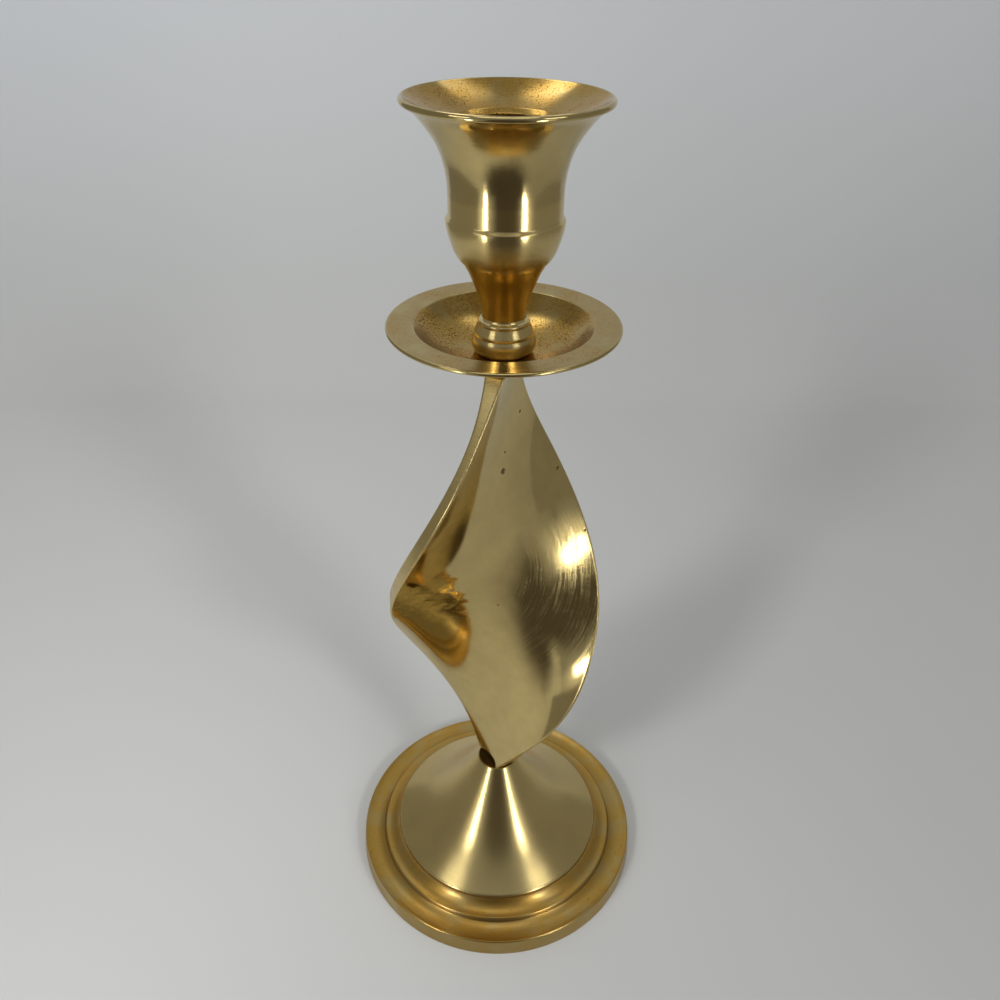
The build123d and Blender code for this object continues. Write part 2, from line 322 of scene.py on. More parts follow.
def grid_normals(grid, closed):
    """Normals of a grid, square to the differences of neighbouring points both ways."""
    around = np.roll(grid, -1, axis=1) - np.roll(grid, 1, axis=1)
    onward = np.roll(grid, -1, axis=0) - np.roll(grid, 1, axis=0) if closed else np.gradient(grid, axis=0)
    normals = np.cross(around, onward)
    return normals / np.linalg.norm(normals, axis=-1, keepdims=True)


def turned(name, rows, closed, radius_of=None, segments=RING_SEGMENTS):
    """A surface of revolution: an outline point (r, z) at angle a is (r cos a, r sin a, z), and an open
    outline starts and ends on the axis. radius_of, where given, makes the radius differ round the axis."""
    angles = np.linspace(0, 2 * math.pi, segments, endpoint=False)[None, :]
    body = rows if closed else rows[1:-1]
    radius, height, tarnish, along, tangent = (column[:, None] for column in body.T)
    cos, sin = np.cos(angles), np.sin(angles)
    wide = radius + 0 * angles if radius_of is None else radius_of(radius, height, angles)
    grid = np.stack((wide * cos, wide * sin, height + 0 * angles), -1)
    if radius_of is None:
        out = np.sin(tangent)
        normals = np.stack((out * cos, out * sin, -np.cos(tangent) + 0 * angles), -1)
    else:
        normals = grid_normals(grid, closed)
    poles = None if closed else [[0, 0, rows[0, 1]], [0, 0, rows[-1, 1]]]
    return skin(name, grid, normals, poles, closed, tarnish=tarnish, along=along)


# How tarnished a run of an outline is: from 0 where a hand rubs it to 1 in a hollow, and 2 where it is
# sooted or a dark joint and painted near black, which is also painted shade in the socket and under the
# blade's foot
RUBBED, HANDLED, LIVED_IN, WORN, SHELTERED, HIDDEN, SOOT_AND_PAINTED_SHADE = 0.0, 0.15, 0.25, 0.4, 0.7, 1.0, 2.0


def base_outline(sizes):
    """Outline of the base, from the neck's hole down the cone and the coves to the ring it stands on, and
    back up the hollow."""
    edge = 0.35 * MM
    drop = 1.2 * MM
    neck = (sizes.base_neck, BASE_HEIGHT - edge)
    rim_height = 5.7 * MM
    step = (BASE_RADIUS - sizes.outer_ledge, rim_height + 1.25 * MM)
    cone = (step[0] - sizes.inner_ledge, step[1] + 3.65 * MM)
    side = BASE_RADIUS - 0.5 * MM
    inner = (cone[0] + edge, cone[1] - drop), (step[0] - edge, step[1])
    outer = (step[0] + edge, step[1] - drop), (side - edge, rim_height)
    rest = (BASE_RADIUS - 3.5 * MM, 2.2 * MM)
    top = (9 * MM, BASE_HEIGHT - 14 * MM)
    swell = shares_of(neck, cone, (0.4, 0.63), (0.52, 0.75))
    hollow = shares_of(rest, top, (0.17, 0.35, 0.6, 0.82), (0.065, 0.22, 0.48, 0.73))
    return outline_of(
        # The dark joint under the blade's foot, painted near black: painted shade between the blade and the
        # base
        (SOOT_AND_PAINTED_SHADE, [(sizes.foot_hole, BASE_HEIGHT), (neck[0] - edge, BASE_HEIGHT)]),
        (HANDLED, [(neck[0] - edge, BASE_HEIGHT), neck]),
        (LIVED_IN, curve(neck, *swell, cone, start=(1, -1.42), end=(1, -0.6))),
        (SHELTERED, [(inner[0][0], cone[1] - edge), inner[0]]),
        (HIDDEN, arc(inner[0], hollow_middle(*inner, sizes.cove_sag), inner[1])),
        (SHELTERED, [(step[0], step[1] - edge), outer[0]]),
        (HIDDEN, arc(outer[0], hollow_middle(*outer, sizes.cove_sag), outer[1])),
        (SHELTERED, [(side, rim_height - edge), (BASE_RADIUS, edge), (BASE_RADIUS - edge, 0)]),
        (SHELTERED, [(rest[0], 0), rest]),
        (HIDDEN, curve(rest, *hollow, top)),
        (HIDDEN, [top, (sizes.foot_hole, top[1])]),
    )


def pan_outline(sizes):
    """Outline of the pan: floor, bowl and flange above, and the same form a sheet's thickness lower."""
    flange, shoulder = 1.0 * MM, 0.5 * MM
    hole, seat = sizes.top_spigot + 0.2 * MM, PAN_FLOOR - sizes.pan_sheet
    inner_top = PAN_TOP - 0.25 * MM
    bowl = PAN_RADIUS - sizes.pan_flange
    well = (sizes.cup_waist + 2.93 * MM, PAN_FLOOR)
    lip = (bowl - shoulder, inner_top - shoulder)
    well_below = (well[0] - sizes.pan_sheet / 2, seat)
    lip_below = (bowl + sizes.pan_sheet / 2, inner_top - flange - shoulder)
    shares = ((0.4, 0.76), (0.16, 0.54))
    below = shares_of(well_below, lip_below, *shares)[::-1]
    edge = PAN_RADIUS - flange / 2
    return outline_of(
        (HIDDEN, [(hole, PAN_FLOOR), well]),
        (HIDDEN, curve(well, *shares_of(well, lip, *shares), lip, start=(1, 0), end=(1, 1))),
        (SHELTERED, [lip, (bowl, inner_top), (edge, PAN_TOP)]),
        (WORN, arc((edge, PAN_TOP), (PAN_RADIUS, PAN_TOP - flange / 2), (edge, PAN_TOP - flange))),
        (WORN, [(edge, PAN_TOP - flange), (lip_below[0] + shoulder, inner_top - flange), lip_below]),
        (SHELTERED, curve(lip_below, *below, well_below, start=(-1, -1), end=(-1, 0))),
        (SHELTERED, [well_below, (hole, seat)]),
    )


def cup_outline(sizes):
    """Outline of the cup, from the threaded hole under the bead up the neck, bowl and flare to the rim,
    and down the funnel into the candle's socket."""
    low, high = PAN_FLOOR, CUP_TOP
    thread, thread_top = sizes.top_spigot + 0.05 * MM, low + 11.2 * MM
    waist = (sizes.cup_waist, low + 9.1 * MM)
    bead_foot, bead = (waist[0] + 1.03 * MM, low), (waist[0] + 2.63 * MM, low + 2.7 * MM)
    collar = waist[0] + 2.08 * MM
    groove = collar - 0.2 * MM
    groove_foot, collar_foot, collar_edge = low + 4.5 * MM, low + 4.9 * MM, low + 5.25 * MM
    collar_top = (waist[0] + 1.03 * MM, collar_edge + 1.95 * MM)
    ring_top = (waist[0] + 0.53 * MM, collar_top[1] + 0.9 * MM)
    ridge_foot, ridge = (9.75 * MM, low + 21.75 * MM), (9.95 * MM, low + 21.95 * MM)
    body = sizes.socket + sizes.cup_wall
    shoulder = (body + 0.6 * MM, low + 30.75 * MM)
    flare_foot = (body, low + 36 * MM)
    rim_foot = (RIM_RADIUS - 0.87 * MM, high - 1.45 * MM)
    rim_top = (RIM_RADIUS - 0.725 * MM, high)
    funnel_foot = (sizes.socket + 1.2 * MM, high - 4.65 * MM)
    mouth = high - 5.55 * MM
    floor, drop = mouth - sizes.socket_depth, 0.7 * MM
    ring_hollow = (between(waist[0], ring_top[0], 0.25), between(waist[1], ring_top[1], 0.65))
    neck = shares_of(waist, ridge_foot, (0.07, 0.25, 0.5, 0.68), (0.18, 0.4, 0.64, 0.8))
    bowl = shares_of(ridge, shoulder, (0.69,), (0.48,))
    flare_out = (0.042, 0.126, 0.262, 0.509, 0.675, 0.845)
    flare_up = (0.237, 0.407, 0.571, 0.757, 0.859, 0.944)
    flare = shares_of(flare_foot, rim_foot, flare_out, flare_up)
    funnel_middle = (between(rim_top[0], funnel_foot[0], 0.5), between(high, funnel_foot[1], 0.6))
    return outline_of(
        (HIDDEN, [(0, thread_top), (thread, thread_top), (thread, low), bead_foot]),
        (WORN, arc(bead_foot, bead, (groove, groove_foot))),
        (SHELTERED, [(groove, groove_foot), (groove, collar_foot)]),
        (HANDLED, [(collar, collar_foot), (collar, collar_edge), collar_top]),
        (HANDLED, arc(collar_top, (collar_top[0], collar_top[1] + 0.45 * MM), ring_top)),
        (RUBBED, arc(ring_top, ring_hollow, waist)),
        (RUBBED, curve(waist, *neck, ridge_foot)),
        (RUBBED, [ridge_foot, ridge]),
        (HANDLED, curve(ridge, *bowl, shoulder, start=(1, 1), end=(0, 1))),
        (HANDLED, [shoulder, (body, low + 31.45 * MM), flare_foot]),
        (WORN, curve(flare_foot, *flare, rim_foot, start=(0, 1), end=(1, 0.7))),
        (WORN, arc(rim_foot, (RIM_RADIUS, high - 0.725 * MM), rim_top)),
        (HIDDEN, arc(rim_top, funnel_middle, funnel_foot)),
        (HIDDEN, [funnel_foot, (sizes.socket, mouth)]),
        # The sooted socket, painted near black, which is also painted shade in this deep recess
        (SOOT_AND_PAINTED_SHADE, [(sizes.socket, mouth), (sizes.socket, floor)]),
        (SOOT_AND_PAINTED_SHADE, [(sizes.socket - drop, floor - drop), (0, floor - drop)]),
    )


def spigot_outline(sizes):
    """Outline of the boss under the pan and the spigot that goes up through the pan into the cup."""
    seat, chamfer, edge = PAN_FLOOR - sizes.pan_sheet, 0.5 * MM, 0.15 * MM
    foot = seat - 3 * MM
    return outline_of(
        (HANDLED, [(0, foot), (sizes.boss - edge, foot), (sizes.boss, foot + edge)]),
        (HANDLED, [(sizes.boss, seat - 0.4 * MM), (sizes.boss - 0.4 * MM, seat)]),
        (HIDDEN, [(sizes.top_spigot, seat), (sizes.top_spigot, STEM_TOP - chamfer)]),
        (HIDDEN, [(sizes.top_spigot - chamfer, STEM_TOP), (0, STEM_TOP)]),
    )


# Stem: shares of the blade's height, turn, reach and thickness at its stations. Bows and rolls are shares
# of the reach
BLADE_FOOT = BASE_HEIGHT
BLADE_HEIGHT = 136.6 * MM
BLADE_START = math.radians(-60.6)
BLADE_TURN = math.radians(129.8)
STATION_HEIGHTS = (0, 0.08, 0.2, 0.35, 0.5, 0.65, 0.8, 0.92, 1)
STATION_TURNS = (0, 0.08, 0.19, 0.355, 0.547, 0.713, 0.857, 0.946, 1)
STATION_REACHES = (0.195, 0.425, 0.777, 0.973, 1, 0.89, 0.66, 0.387, 0.19)
STATION_THICKNESSES = (1.46, 1.2, 1.02, 1, 1, 0.82, 0.6, 0.56, 0.95)
STATION_BOWS = (0.02, 0.07, 0.09, 0.08, 0.065, 0.06, 0.07, 0.05, 0.02)
STATION_ROLLS = (0, 0.06, 0.1, 0.09, 0.04, 0, 0, 0, 0)
BLADE_LEAN = 0.048
BLADE_ROWS = 380
END_ROWS = 8
END_ROUND = 0.5 * MM
FACE_COLUMNS = 84
LAND_COLUMNS = 10
ARRIS_COLUMNS = 6


def bar_section():
    """Unit form of a rounded bar's section: for each column the side along the reach and along the
    thickness that it follows, from -1 to 1, and its normal. The columns run round the bar once, and the
    second half is the first one's opposite."""
    face = np.linspace(-1, 1, FACE_COLUMNS, endpoint=False)[1:]
    land = np.linspace(-1, 1, LAND_COLUMNS, endpoint=False)[1:]
    turn = np.linspace(0, math.pi / 2, ARRIS_COLUMNS + 1)
    one_f, one_l, one_t = np.ones_like(face), np.ones_like(land), np.ones_like(turn)
    parts = [
        (face, -one_f, 0 * face, -one_f),
        (one_t, -one_t, np.sin(turn), -np.cos(turn)),
        (one_l, land, one_l, 0 * land),
        (one_t, one_t, np.cos(turn), np.sin(turn)),
    ]
    half_way = np.array([np.concatenate(column) for column in zip(*parts)])
    return np.concatenate((half_way, -half_way), axis=1)


def about_axis(x, y, angle):
    """Places turned by an angle about the upright axis."""
    return x * np.cos(angle) - y * np.sin(angle), x * np.sin(angle) + y * np.cos(angle)


def blade(name, sizes):
    """The twisted blade. At height z its section is a rounded bar of half length R(z) and half thickness
    T(z), turned by A(z) about the axis and shifted towards one edge by a share of R(z). A point at the
    share u of the half length is pushed back by R times bow (1 - u^2) + roll (u^3 - u^5), which hollows
    the front and rolls one edge forward. At both ends the section draws in by a quarter of a circle."""
    quarter = np.linspace(0, math.pi / 2, END_ROWS)
    drawn_in = END_ROUND * (1 - np.sin(quarter))
    near_end = END_ROUND * (1 - np.cos(quarter)) / BLADE_HEIGHT
    middle = np.linspace(near_end[-1], 1 - near_end[-1], BLADE_ROWS)[1:-1]
    share = np.concatenate((near_end, middle, 1 - near_end[::-1]))
    inset = np.concatenate((drawn_in, 0 * middle, drawn_in[::-1]))[:, None]
    stations = (STATION_TURNS, STATION_REACHES, STATION_THICKNESSES, STATION_BOWS, STATION_ROLLS)
    formed = spline(STATION_HEIGHTS, np.column_stack(stations), share)
    turn, reach, thickness, bow, roll = formed.T[:, :, None]
    angle = BLADE_START + BLADE_TURN * turn
    reach = sizes.blade_reach * reach
    half = sizes.blade_thickness * thickness / 2
    height = (BLADE_FOOT + BLADE_HEIGHT * share)[:, None]
    side, depth, out_side, out_depth = (column[None, :] for column in bar_section())
    arris = sizes.arris - inset
    out = side * (reach - sizes.arris) + out_side * arris
    u = out / reach
    x = out - BLADE_LEAN * reach
    pushed = reach * (bow * (1 - u**2) + roll * (u**3 - u**5))
    y = depth * (half - sizes.arris) + out_depth * arris + pushed
    grid = np.stack((*about_axis(x, y, angle), height + 0 * x), -1)
    far, bowed, facing, level = (value[[0, -1], 0] for value in (reach, bow, angle, height))
    poles = np.stack((*about_axis(-BLADE_LEAN * far, far * bowed, facing), level), 1)
    edge = reach - np.abs(out)
    return skin(name, grid, grid_normals(grid, False), poles, across=x, up=height, edge=edge)


def threaded(sizes, radius, height, angles):
    """Radii of the foot spigot's thread: a helix of pitch p cuts a V of depth d, so the radius at height z
    and angle a drops by d times how near z / p less a / turn is to a half."""
    depth = 0.3 * MM
    phase = (height / sizes.thread_pitch - angles / (2 * math.pi)) % 1
    cut = depth * (1 - np.abs(2 * phase - 1))
    full = radius > sizes.foot_spigot - 0.02 * MM
    return np.where(full, radius - cut, np.minimum(radius, sizes.foot_spigot - depth * 0.4))


def foot_rows(sizes):
    """Rows of the foot spigot, close enough together for its thread."""
    chamfer = 0.5 * MM
    top = BASE_HEIGHT + 1 * MM
    outline = [(0, STEM_FOOT), (sizes.foot_spigot - chamfer, STEM_FOOT)]
    outline += [(sizes.foot_spigot, STEM_FOOT + chamfer), (sizes.foot_spigot, top), (0, top)]
    rows = eased(outline_of((WORN, outline)), THREAD_EDGE, False)
    along = np.arange(rows[0, 3], rows[-1, 3], sizes.thread_pitch / 8)
    return np.stack([np.interp(along, rows[:, 3], column) for column in rows.T], 1)


def hexagon(sizes, radius, height, angles):
    """Radii of the nut: the smaller of the turned radius and the distance to the nearest of its flats."""
    from_flat = (angles + math.pi / 6) % (math.pi / 3) - math.pi / 6
    return np.minimum(radius + 0 * angles, sizes.nut_flats / 2 / np.cos(from_flat))


def nut_outline(sizes):
    """Outline of the nut before its flats: a ring with chamfered ends round the threaded hole."""
    bore, chamfer, corner = sizes.foot_spigot + 0.05 * MM, 0.6 * MM, sizes.nut_flats / 3**0.5
    low, high, flat = NUT_FOOT, WASHER_FOOT, sizes.nut_flats / 2
    return outline_of(
        (HANDLED, [(bore, low), (flat, low), (corner, low + chamfer)]),
        (HANDLED, [(corner, high - chamfer), (flat, high), (bore, high)]),
    )


def washer_outline(sizes):
    """Outline of the washer: a flat ring with stamped, slightly round edges."""
    edge = 0.2 * MM
    return outline_of(
        (HANDLED, [(sizes.foot_hole, WASHER_FOOT), (WASHER_RADIUS - edge, WASHER_FOOT)]),
        (HANDLED, [(WASHER_RADIUS, WASHER_FOOT + edge), (WASHER_RADIUS, WASHER_TOP - edge)]),
        (HANDLED, [(WASHER_RADIUS - edge, WASHER_TOP), (sizes.foot_hole, WASHER_TOP)]),
    )


def add_node(tree, kind, inputs=(), operation=None, **settings):
    """Adds a node with its operation and settings. Inputs are a list in the order of its sockets, or a
    dictionary by name or number. Each is a value, a socket, or a node whose first output is used."""
    made = tree.nodes.new("ShaderNode" + kind)
    if operation is not None:
        made.operation = operation
    for label, value in settings.items():
        setattr(made, label, value)
    for label, value in inputs.items() if isinstance(inputs, dict) else enumerate(inputs):
        if isinstance(value, bpy.types.Node):
            value = value.outputs[0]
        if isinstance(value, bpy.types.NodeSocket):
            tree.links.new(value, made.inputs[label])
        else:
            made.inputs[label].default_value = value
    return made


def new_material(name):
    """An empty material, and a call that adds nodes to its tree."""
    made = bpy.data.materials.new(name)
    made.use_nodes = True
    made.node_tree.nodes.clear()
    return made, partial(add_node, made.node_tree)


# The sockets of a Mix node that blends colours
FACTOR, FIRST, SECOND, BLEND = 0, 6, 7, 2
# Lathe work: roughness, anisotropy, the gap between the tool's lines and their depth, the size of the
# specks, and the noise level where specks start
LATHE_FINISHES = {
    "turned_base_brass": (0.22, 0.6, 0.5 * MM, 0.001 * MM, 0.6 * MM, 0.64),
    "turned_spigot_brass": (0.25, 0.4, 0.5 * MM, 0.004 * MM, 0.6 * MM, 0.62),
    "satin_pan_brass": (0.12, 0.3, 0.4 * MM, 0.002 * MM, 0.4 * MM, 0.5),
    "turned_cup_brass": (0.2, 0.8, 0.45 * MM, 0.03 * MM, 0.4 * MM, 0.55),
}
# The height where the cup's buffed flare starts, and one that no piece reaches, for the other lathe work
BUFFED_FLARE, ABOVE_ALL = CUP_TOP - 16 * MM, 1


def lathe_brass(name, colours, buffed_above=ABOVE_ALL):
    """Yellow brass turned on a lathe and lightly buffed. The tool's fine grooves run round the piece, so
    they spread each highlight along the outline. A thick film of tarnish is warmer and duller and has
    brown specks, and the brass is smoother where a hand or the buffing wheel rubs it. The real grooves
    are under 0.1 mm apart: these are 0.4 mm or more, so that they show."""
    roughness, anisotropy, line_gap, groove, speck_size, speck_start = LATHE_FINISHES[name]
    brass, dull_brass, brown_brass, speck = (
        (*tone, 1) for tone in (colours.brass, colours.dull_brass, colours.brown_brass, colours.speck)
    )
    material, add = new_material(name)
    place = add("TexCoord").outputs["Object"]
    flat = add("VectorMath", [place, (1, 1, 0)], "MULTIPLY")
    around = add("VectorMath", [flat], "NORMALIZE")
    own = [add("Attribute", attribute_name=label) for label in ("along", "tarnish")]
    along, tarnish = (node.outputs["Fac"] for node in own)
    line_count = add("Math", [along, 1 / line_gap], "MULTIPLY")
    line_level = add("CombineXYZ", {"Z": line_count})
    line_place = add("VectorMath", [around, (5, 5, 5), line_level], "MULTIPLY_ADD")
    lines = add("TexNoise", {"Vector": line_place, "Scale": 1, "Detail": 3, "Roughness": 0.6})
    cloud = add("TexNoise", {"Vector": place, "Scale": 1 / (9 * MM), "Detail": 4, "Roughness": 0.6})
    grain = add("TexNoise", {"Vector": place, "Scale": 1 / speck_size, "Detail": 2, "Roughness": 0.7})
    film = add("MapRange", [cloud, 0.35, 0.65, 0.6, 1])
    film = add("Math", [film, tarnish], "MULTIPLY")
    spots = add("MapRange", [grain, speck_start, speck_start + 0.1, 0, 0.85])
    speckled = add("MapRange", [film, 0.4, 0.9, 0.15, 1])
    speckled = add("Math", [speckled, film], "MULTIPLY")
    spots = add("Math", [spots, speckled], "MULTIPLY")
    thin = add("MapRange", [film, 0, 0.5, 0, 1])
    thick = add("MapRange", [film, 0.4, 0.85, 0, 1])
    # Near black where the outline is sooted or a dark joint: also painted shade in the socket and under the
    # blade's foot
    soot_and_painted_shade = add("MapRange", [tarnish, 1, 2, 0, 0.9])
    dark = add("Math", [spots, soot_and_painted_shade], "MAXIMUM")
    tone = brass
    for share, other in ((thin, dull_brass), (thick, brown_brass), (dark, speck)):
        tone = add("Mix", {FACTOR: share, FIRST: tone, SECOND: other}, data_type="RGBA").outputs[BLEND]
    rough = add("MapRange", [lines, 0.3, 0.7, roughness * 0.93, roughness * 1.07])
    polish = add("MapRange", [tarnish, RUBBED, HANDLED, 0.45, 1])
    height = add("SeparateXYZ", [place]).outputs["Z"]
    buffed = add("MapRange", [height, buffed_above - 4 * MM, buffed_above, 1, 0.4])
    polish = add("Math", [polish, buffed], "MINIMUM")
    rough = add("Math", [rough, polish], "MULTIPLY")
    rough = add("Math", [film, 0.14, rough], "MULTIPLY_ADD")
    rough = add("Math", [dark, 0.2, rough], "MULTIPLY_ADD")
    grooves = add("Bump", {"Strength": polish, "Distance": groove, "Height": lines})
    uneven = add("Bump", {"Strength": 1, "Distance": 0.01 * MM, "Height": cloud, "Normal": grooves})
    tangent = add("Tangent", direction_type="RADIAL", axis="Z")
    metal = add(
        "BsdfPrincipled",
        {
            "Base Color": tone,
            "Metallic": 1,
            "Roughness": rough,
            "Anisotropic": anisotropy,
            "Anisotropic Rotation": 0.25,
            "Normal": uneven,
            "Tangent": tangent,
        },
    )
    add("OutputMaterial", {"Surface": metal})
    return material


# Pits that the casting left: centre and radius in millimetres
PITS = {
    "ring": ((0.4, 0.1, 145.4), 0.9),
    "above the ring": ((0.7, 0.6, 150.8), 0.35),
    "right edge": ((15.1, 12.3, 139.0), 0.6),
    "right": ((23.4, 9.0, 120.8), 0.4),
    "middle": ((-0.5, -0.7, 101.3), 0.3),
    "high": ((4.3, 5.8, 159.7), 0.45),
}
# The middle and reach of the wheel's scuffs, and the centre of their arcs, in millimetres
SCUFFS, SCUFF_REACH, SCUFF_PIVOT = (26, 2, 106), 38, (-13, -5, 112)
# The middle and reach of the uneven grinding at the blade's left tip, in millimetres
FACETS, FACET_REACH = (-19, -5, 105), 18


def cast_brass(name, colours):
    """Yellow brass cast in sand, ground by hand and buffed. It mirrors its surroundings, a little wavy
    from the grinding wheel, and has fine scratches, arcs of duller scuffs where the wheel turned, worn
    edges and a few dark pits. The real scratches are about 0.05 mm wide: these are 0.3 and 0.6 mm, so
    that they show."""
    brass, dull_brass, pit = ((*tone, 1) for tone in (colours.brass, colours.dull_brass, colours.pit))
    material, add = new_material(name)
    place = add("TexCoord").outputs["Object"]
    own = [add("Attribute", attribute_name=label) for label in ("across", "up", "edge")]
    across, up, edge = (node.outputs["Fac"] for node in own)
    face = add("CombineXYZ", [across, up])
    brush_place = add("VectorMath", [face, (1 / (0.3 * MM), 1 / (9 * MM), 0)], "MULTIPLY")
    brush = add("TexNoise", {"Vector": brush_place, "Scale": 1, "Detail": 3, "Roughness": 0.6})
    arm = add("VectorMath", [place, in_metres(SCUFF_PIVOT)], "DISTANCE").outputs["Value"]
    fan = add("CombineXYZ", [arm, up])
    arc_place = add("VectorMath", [fan, (1 / (0.6 * MM), 1 / (16 * MM), 0)], "MULTIPLY")
    arcs = add("TexNoise", {"Vector": arc_place, "Scale": 1, "Detail": 3, "Roughness": 0.65})
    wave = add("TexNoise", {"Vector": place, "Scale": 1 / (16 * MM), "Detail": 1.5, "Roughness": 0.4})
    cloud = add("TexNoise", {"Vector": place, "Scale": 1 / (7 * MM), "Detail": 5, "Roughness": 0.65})
    away = add("VectorMath", [place, in_metres(SCUFFS)], "DISTANCE").outputs["Value"]
    near = add("MapRange", [away, SCUFF_REACH * MM, 8 * MM, 0, 1], interpolation_type="SMOOTHSTEP")
    patchy = add("MapRange", [cloud, 0.35, 0.6, 0.45, 1])
    scuff = add("Math", [near, patchy], "MULTIPLY")
    film = add("MapRange", [cloud, 0.35, 0.65, 0.3, 0.6])
    tone = add("Mix", {FACTOR: film, FIRST: brass, SECOND: dull_brass}, data_type="RGBA").outputs[BLEND]
    dirt = 0
    ragged = add("TexNoise", {"Vector": place, "Scale": 1 / (0.8 * MM), "Detail": 2})
    for centre, radius in PITS.values():
        off = add("VectorMath", [place, in_metres(centre)], "DISTANCE").outputs["Value"]
        off = add("Math", [ragged, radius * MM, off], "MULTIPLY_ADD")
        hole = add("MapRange", [off, 1.5 * radius * MM, 1.2 * radius * MM, 0, 1])
        dirt = add("Math", [dirt, hole], "MAXIMUM")
    dirty = add("Math", [dirt, 0.75], "MULTIPLY")
    tone = add("Mix", {FACTOR: dirty, FIRST: tone, SECOND: pit}, data_type="RGBA").outputs[BLEND]
    rough = add("MapRange", [brush, 0.3, 0.7, 0.04, 0.09])
    rough = add("Math", [film, 0.04, rough], "MULTIPLY_ADD")
    scored = add("MapRange", [arcs, 0.4, 0.65, 0.07, 0.3])
    rough = add("Math", [scuff, scored, rough], "MULTIPLY_ADD")
    worn = add("MapRange", [edge, 0.3 * MM, 0.9 * MM, 0.2, 0])
    rough = add("Math", [rough, worn], "ADD")
    rough = add("Math", [dirt, 0.3, rough], "MULTIPLY_ADD")
    grain = add("Bump", {"Strength": 1, "Distance": 0.001 * MM, "Height": brush})
    scored = add("Bump", {"Strength": scuff, "Distance": 0.03 * MM, "Height": arcs, "Normal": grain})
    sunk = add("Math", [1, dirt], "SUBTRACT")
    pitted = add("Bump", {"Strength": 1, "Distance": 0.15 * MM, "Height": sunk, "Normal": scored})
    waves = add("Bump", {"Strength": 1, "Distance": 0.06 * MM, "Height": wave, "Normal": pitted})
    away = add("VectorMath", [place, in_metres(FACETS)], "DISTANCE").outputs["Value"]
    near = add("MapRange", [away, FACET_REACH * MM, 5 * MM, 0, 1], interpolation_type="SMOOTHSTEP")
    facet = add("TexNoise", {"Vector": place, "Scale": 1 / (5 * MM), "Detail": 1.5, "Roughness": 0.5})
    ground = add("Bump", {"Strength": near, "Distance": 0.35 * MM, "Height": facet, "Normal": waves})
    metal = add("BsdfPrincipled", {"Base Color": tone, "Metallic": 1, "Roughness": rough, "Normal": ground})
    add("OutputMaterial", {"Surface": metal})
    return material


def plated_steel(name, colours):
    """Steel with bright zinc plating, as on stock nuts and washers: a cool grey metal with faint blue and
    yellow clouds from its passivation, and a fine grain."""
    material, add = new_material(name)
    place = add("TexCoord").outputs["Object"]
    cloud = add("TexNoise", {"Vector": place, "Scale": 1 / (3 * MM), "Detail": 3, "Roughness": 0.6})
    grain = add("TexNoise", {"Vector": place, "Scale": 1 / (0.3 * MM), "Detail": 2, "Roughness": 0.6})
    share = add("MapRange", [cloud, 0.4, 0.7, 0, 0.6])
    zinc, warm = (*colours.zinc, 1), (*linear("#B8AE90"), 1)
    tone = add("Mix", {FACTOR: share, FIRST: zinc, SECOND: warm}, data_type="RGBA").outputs[BLEND]
    rough = add("MapRange", [grain, 0.3, 0.7, 0.25, 0.4])
    pebbled = add("Bump", {"Strength": 1, "Distance": 0.003 * MM, "Height": grain})
    metal = add("BsdfPrincipled", {"Base Color": tone, "Metallic": 1, "Roughness": rough, "Normal": pebbled})
    add("OutputMaterial", {"Surface": metal})
    return material


def finished(piece, material, node=None):
    """Makes a piece take its finish, ride on the body and stand for its node, where it has one."""
    piece.data.materials.append(material)
    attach(piece, "root")
    if node is not None:
        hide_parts(node)


class HOLDER_OT_base(bpy.types.Operator):
    """Make the stepped base with its hollow underside"""

    bl_idname = "holder.base"
    bl_label = "Stepped Base"

    def execute(self, context):
        sizes = context.scene.holder_sizes
        made = turned("stepped_base", eased(base_outline(sizes), sizes.turned_edge, True), True)
        brass = lathe_brass("turned_base_brass", context.scene.finish_colours)
        finished(made, brass, "base")
        return {"FINISHED"}


class HOLDER_OT_fixings(bpy.types.Operator):
    """Make the washer and the nut that hold the stem inside the base"""

    bl_idname = "holder.fixings"
    bl_label = "Washer and Nut"

    def execute(self, context):
        sizes = context.scene.holder_sizes
        steel = plated_steel("zinc_plated_steel", context.scene.finish_colours)
        washer_rows = eased(washer_outline(sizes), FIXING_EDGE, True)
        washer = turned("plain_washer", washer_rows, True, segments=SMALL_SEGMENTS)
        finished(washer, steel, "base_washer")
        nut_rows = eased(nut_outline(sizes), FIXING_EDGE, True)
        nut = turned("hexagon_nut", nut_rows, True, partial(hexagon, sizes))
        finished(nut, steel, "base_nut")
        return {"FINISHED"}


class HOLDER_OT_stem(bpy.types.Operator):
    """Make the twisted blade with its boss and its two spigots"""

    bl_idname = "holder.stem"
    bl_label = "Twisted Stem"

    def execute(self, context):
        sizes, colours = context.scene.holder_sizes, context.scene.finish_colours
        cast = cast_brass("buffed_cast_brass", colours)
        finished(blade("twisted_blade", sizes), cast, "twisted_stem")
        cut = lathe_brass("turned_spigot_brass", colours)
        boss_rows = eased(spigot_outline(sizes), BRIGHT_EDGE, False)
        finished(turned("pan_boss", boss_rows, False, segments=SMALL_SEGMENTS), cut)
        thread = partial(threaded, sizes)
        foot = turned("threaded_foot", foot_rows(sizes), False, thread, THREAD_SEGMENTS)
        finished(foot, cut)
        return {"FINISHED"}


class HOLDER_OT_pan(bpy.types.Operator):
    """Make the dished drip pan"""

    bl_idname = "holder.pan"
    bl_label = "Drip Pan"

    def execute(self, context):
        sizes = context.scene.holder_sizes
        made = turned("dished_drip_pan", eased(pan_outline(sizes), sizes.turned_edge, True), True)
        brass = lathe_brass("satin_pan_brass", context.scene.finish_colours)
        finished(made, brass, "drip_pan")
        return {"FINISHED"}


